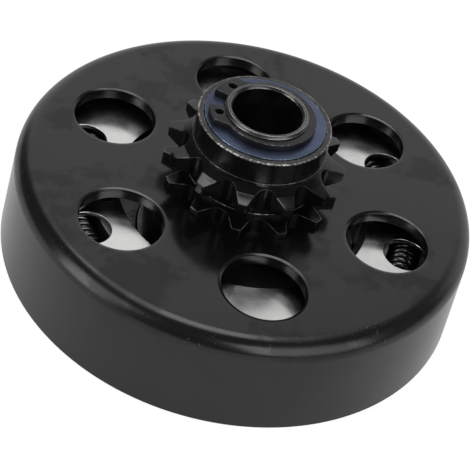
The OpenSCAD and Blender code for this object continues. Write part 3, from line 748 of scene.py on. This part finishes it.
class CLUTCH_OT_hub(bpy.types.Operator):
    """Model the hub, its snap ring, driver, guide plate and rivets"""
    bl_idname = "clutch.hub"
    bl_label = "Hub and driver"

    def execute(self, context):
        colours = context.scene.clutch_finishes
        phosphate = finish("Phosphated ring", colours.phosphate, 0.8, 0.36, vary=0.06,
                           grain=1800.0, bump=0.1, worn=0.5, bared=(0.2, 0.2, 0.2), mottle=0.2)
        tube = finish("Turned hub steel", colours.tube, 1.0, 0.33, vary=0.07, grain=1200.0,
                      bump=0.3, lathe=0.5, worn=1.0, bared=colours.bared, mottle=0.25,
                      rings=0.8 * MM)
        driver = finish("Driver steel", colours.driver, 0.8, 0.4, vary=0.08, grain=900.0,
                        bump=0.15, worn=0.3, bared=colours.bared, mottle=0.25)
        plate = finish("Guide plate steel", colours.guide, 1.0, 0.3, vary=0.07, grain=1200.0,
                       bump=0.06, lathe=0.3, mottle=0.12)
        rivet = finish("Rivet steel", colours.steel, 1.0, 0.36, vary=0.06, grain=1500.0, bump=0.08,
                       mottle=0.1)
        add_piece(snap_ring(context.scene.clutch_ring, RING_LOW_Z), "Snap ring with eyes",
                  phosphate, "hub", ["snap_ring"], sharp=50)
        # Name, node, finish, slot, and the rounding of the edges in millimetres
        rows = (("Hub tube and flange", "hub", tube, "turned_hub", 0.14),
                ("Driver with arms", "driver", driver, "black_driver", 0.3),
                ("Guide plate disc", "guide_plate", plate, "guide_plate_steel", 0.2),
                ("Driver rivet set", "driver_rivets", rivet, "rivet_steel", 0.15))
        for name, node, material, slot, rounding in rows:
            bm = softened(node, rounding * MM)
            if node == "hub":
                worn = bm.faces.layers.float["wear"]
                for face in bm.faces:
                    if is_near(face.calc_center_median().z, FLANGE_Z):
                        face[worn] = 1.3
            add_piece(bm, name, material, "hub", [node], sharp=50)
        return {"FINISHED"}


class CLUTCH_OT_shoes(bpy.types.Operator):
    """Model both shoes with their plates, linings, rivets and spring pins"""
    bl_idname = "clutch.shoes"
    bl_label = "Shoes"

    def execute(self, context):
        colours = context.scene.clutch_finishes
        core = finish("Shoe core steel", colours.core, 0.9, 0.42, vary=0.08, grain=900.0,
                      bump=0.15, worn=0.3, bared=colours.bared, mottle=0.2)
        bright = finish("Bright shoe plate", colours.bright, 1.0, 0.22, vary=0.05, grain=1500.0,
                        bump=0.1, lathe=0.7, mottle=0.08)
        lining = finish("Friction lining", colours.lining, 0.0, 0.8, vary=0.1, grain=1600.0,
                        bump=0.5, mottle=0.35)
        rivet = finish("Shoe rivet steel", colours.steel, 1.0, 0.33, vary=0.05, grain=1500.0,
                       bump=0.06, mottle=0.1)
        # Word, node, finish, slot, and the rounding of the edges in millimetres
        rows = (("core", "shoe_core", core, "shoe_core_steel", 0.2),
                ("face plate", "face_plate", bright, "bright_shoe_plate", 0.14),
                ("back plate", "back_plate", bright, "bright_shoe_plate", 0.14),
                ("lining", "lining", lining, "friction_lining", 0.35),
                ("rivets", "shoe_rivets", rivet, "rivet_steel", 0.12),
                ("spring pins", "spring_pins", rivet, "rivet_steel", 0.25))
        for side in ("upper", "lower"):
            for word, node, material, slot, rounding in rows:
                add_piece(softened(f"{side}_{node}", rounding * MM), f"{side.title()} shoe {word}",
                          material, f"{side}_shoe", [f"{side}_{node}"], sharp=50)
        return {"FINISHED"}


def half_spring_path(s):
    """Points of the right spring's wire, from its middle to the hook on the upper shoe's pin."""
    z = CORE_TOP_Z - s.depth
    steps = 20

    def at(r, turn_angle, height):
        return Vector((r * math.cos(turn_angle), r * math.sin(turn_angle), height))

    points = []
    for i in range(steps * s.turns // 2 + 1):
        turn = i / steps
        sweep = (turn + s.turns / 2) * math.tau
        points.append(at(s.circle + s.coil_r * math.cos(sweep), 2 * s.coil_end * turn / s.turns,
                         z + s.coil_r * math.sin(sweep)))
    pin = at(s.circle, s.pin_at, z)
    outwards = Vector((math.cos(s.pin_at), math.sin(s.pin_at), 0.0))
    onwards = Vector((-math.sin(s.pin_at), math.cos(s.pin_at), 0.0))
    hook_steps = 28
    for i in range(hook_steps + 1):
        sweep = s.hook_sweep * i / hook_steps
        points.append(pin + s.hook_r * (math.cos(sweep) * outwards + math.sin(sweep) * onwards))
    return points


def wire_bmesh(points, radius):
    """A round wire with closed ends along points, in a new bmesh."""
    curve = bpy.data.curves.new("wire", "CURVE")
    curve.dimensions = "3D"
    curve.bevel_depth = radius
    curve.bevel_resolution = 4
    curve.use_fill_caps = True
    spline = curve.splines.new("POLY")
    spline.points.add(len(points) - 1)
    for point, place in zip(spline.points, points):
        point.co = (*place, 1.0)
    carrier = bpy.data.objects.new("wire", curve)
    bpy.context.scene.collection.objects.link(carrier)
    bpy.context.view_layer.update()
    mesh = bpy.data.meshes.new_from_object(carrier.evaluated_get(
        bpy.context.evaluated_depsgraph_get()))
    bm = bmesh.new()
    bm.from_mesh(mesh)
    bpy.data.objects.remove(carrier)
    bpy.data.curves.remove(curve)
    bpy.data.meshes.remove(mesh)
    return bm


class CLUTCH_OT_springs(bpy.types.Operator):
    """Model both springs, each as two halves that stretch with the shoes"""
    bl_idname = "clutch.springs"
    bl_label = "Springs"

    def execute(self, context):
        s = context.scene.clutch_springs
        wire = finish("Spring wire", context.scene.clutch_finishes.wire, 1.0, 0.27, vary=0.04,
                      grain=900.0, bump=0.01, mottle=0.15)
        path = half_spring_path(s)
        pin_y = s.circle * math.sin(s.pin_at)
        for node, side_x in (("right_spring", 1), ("left_spring", -1)):
            for body, side_y in (("upper_shoe", 1), ("lower_shoe", -1)):
                points = [Vector((side_x * p.x, side_y * p.y, p.z)) for p in path]
                name = f"{node.split('_')[0].title()} spring {body.split('_')[0]} half"
                piece = add_piece(wire_bmesh(points, s.wire_r), name, wire, None,
                                  [node], sharp=60)
                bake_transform(piece, "hub", body, start=(0.0, 0.0, 0.0), end=(0.0, side_y * pin_y, 0.0))
        return {"FINISHED"}


# Name, azimuth and elevation in degrees, width and height in metres, and radiance
LAMPS = (("Top softbox", 88, 72, 0.46, 0.46, 3.4),
         ("Left softbox", -163, 25, 0.42, 0.84, 3.3),
         ("Front softbox", -60, 31, 0.80, 0.66, 2.7))


def softbox(name, azimuth, elevation, width, height, radiance, far=0.9):
    """A flat lamp that faces the clutch from a direction and shines at a set radiance."""
    lamp = bpy.data.lights.new(name, "AREA")
    lamp.shape = "RECTANGLE"
    lamp.size = width
    lamp.size_y = height
    lamp.energy = radiance * math.pi * width * height
    holder = bpy.data.objects.new(name, lamp)
    a, e = math.radians(azimuth), math.radians(elevation)
    direction = Vector((math.cos(e) * math.cos(a), math.cos(e) * math.sin(a), math.sin(e)))
    holder.location = direction * far + Vector((0.0, 0.0, FACE_Z))
    holder.rotation_euler = direction.to_track_quat("Z", "Y").to_euler()
    holder.visible_camera = False
    bpy.context.scene.collection.objects.link(holder)


def background_rays(n):
    """1 for the camera's own rays, and 1 for mirrored and refracted ones."""
    rays = n.add("ShaderNodeLightPath").outputs
    mirrored = n.math("MAXIMUM", rays["Is Glossy Ray"], rays["Is Transmission Ray"])
    return rays["Is Camera Ray"], mirrored


class CLUTCH_OT_stage(bpy.types.Operator):
    """Set up the floor, the lamps, the surroundings and the camera"""
    bl_idname = "clutch.stage"
    bl_label = "Studio"

    def execute(self, context):
        scene = context.scene
        s = scene.clutch_stage
        bm = bmesh.new()
        bmesh.ops.create_grid(bm, x_segments=2, y_segments=2, size=3.0)
        mesh = bpy.data.meshes.new("Studio floor")
        bm.to_mesh(mesh)
        bm.free()
        floor = bpy.data.objects.new("studio_floor", mesh)
        scene.collection.objects.link(floor)
        pale = bpy.data.materials.new("Pale floor")
        pale.use_nodes = True
        n = Nodes(pale.node_tree)
        seen, mirrored = background_rays(n)
        matt = n.add("ShaderNodeBsdfDiffuse", {"Color": (0.8, 0.8, 0.8, 1.0)})
        glow = n.add("ShaderNodeEmission", {"Color": (1.0, 1.0, 1.0, 1.0),
                                            "Strength": n.between(seen, s.floor_glow, 1.06)})
        # How much of its own glow, over its matt white, the floor shows straight and mirrored
        straight, mirror = 0.9, 0.75
        shine = n.math("MAXIMUM", n.math("MULTIPLY", seen, straight),
                       n.math("MULTIPLY", mirrored, mirror))
        mixed = n.add("ShaderNodeMixShader", {0: shine, 1: matt.outputs[0], 2: glow.outputs[0]})
        n.add("ShaderNodeOutputMaterial", {"Surface": mixed.outputs[0]})
        mesh.materials.append(pale)
        for row in LAMPS:
            softbox(*row)
        world = bpy.data.worlds.new("Studio")
        world.use_nodes = True
        scene.world = world
        n = Nodes(world.node_tree)
        seen, mirrored = background_rays(n)
        xyz = n.add("ShaderNodeSeparateXYZ",
                    {0: n.add("ShaderNodeTexCoord").outputs["Generated"]}).outputs
        # A pale cloth stands behind the clutch and shows in mirrored surfaces: its direction, the
        # angles over which its side edges and its slanting top edge fade, and that slant
        ahead, side_from, side_to = (math.radians(a) for a in (65, 58, 44))
        edge_from, edge_to = (math.radians(a) for a in (41, 52))
        slant = -0.35
        level = n.math("SQRT", n.math("SUBTRACT", 1.0001, n.math("MULTIPLY", xyz[2], xyz[2])))
        facing = n.math("DIVIDE", n.math("ADD", n.math("MULTIPLY", xyz[0], math.cos(ahead)),
                                         n.math("MULTIPLY", xyz[1], math.sin(ahead))), level)
        across = n.math("SUBTRACT", n.math("MULTIPLY", xyz[1], math.cos(ahead)),
                        n.math("MULTIPLY", xyz[0], math.sin(ahead)))
        beside = n.spread(facing, math.cos(side_from), math.cos(side_to))
        height = n.math("MULTIPLY_ADD", across, slant, xyz[2])
        below = n.spread(height, math.sin(edge_from), math.sin(edge_to), 1.0, 0.0)
        cloth = n.math("MULTIPLY", beside, below)
        mirror = n.math("MULTIPLY_ADD", cloth, s.backdrop - s.dark, s.dark)
        strength = n.between(seen, n.between(mirrored, s.air, mirror), 1.0)
        shell = n.add("ShaderNodeBackground", {"Color": (1.0, 1.0, 1.0, 1.0),
                                               "Strength": strength})
        n.add("ShaderNodeOutputWorld", {"Surface": shell.outputs[0]})
        data = bpy.data.cameras.new("Camera")
        data.lens = s.lens
        data.sensor_width = 36.0
        data.clip_start = 0.01
        camera = bpy.data.objects.new("Camera", data)
        camera.location = s.camera_at
        camera.rotation_euler = s.camera_turn
        scene.collection.objects.link(camera)
        scene.camera = camera
        scene.view_settings.view_transform = "Standard"
        return {"FINISHED"}


class CLUTCH_PT_sidebar(bpy.types.Panel):
    """Buttons for the clutch's pieces and its studio"""
    bl_label = "Clutch"
    bl_space_type = "VIEW_3D"
    bl_region_type = "UI"
    bl_category = "Clutch"

    def draw(self, context):
        for operator in OPERATORS:
            self.layout.operator(operator.bl_idname)


GROUPS = {"clutch_drum": DrumSizes, "clutch_sprocket": SprocketSizes,
          "clutch_bearing": BearingSizes, "clutch_ring": RingSizes,
          "clutch_springs": SpringSizes, "clutch_finishes": Finishes,
          "clutch_stage": StageSettings}
OPERATORS = (CLUTCH_OT_stage, CLUTCH_OT_drum, CLUTCH_OT_sprocket, CLUTCH_OT_bearing,
             CLUTCH_OT_hub, CLUTCH_OT_shoes, CLUTCH_OT_springs)
CLASSES = (*GROUPS.values(), *OPERATORS, CLUTCH_PT_sidebar)


def register():
    """Register the classes and give the scene its settings."""
    for cls in CLASSES:
        bpy.utils.register_class(cls)
    for key, cls in GROUPS.items():
        setattr(bpy.types.Scene, key, PointerProperty(type=cls))


def unregister():
    """Take the settings and the classes away again."""
    for key in GROUPS:
        delattr(bpy.types.Scene, key)
    for cls in reversed(CLASSES):
        bpy.utils.unregister_class(cls)


def main():
    register()
    for operator in OPERATORS:
        group, word = operator.bl_idname.split(".")
        getattr(getattr(bpy.ops, group), word)()


if __name__ == "__main__":
    main()
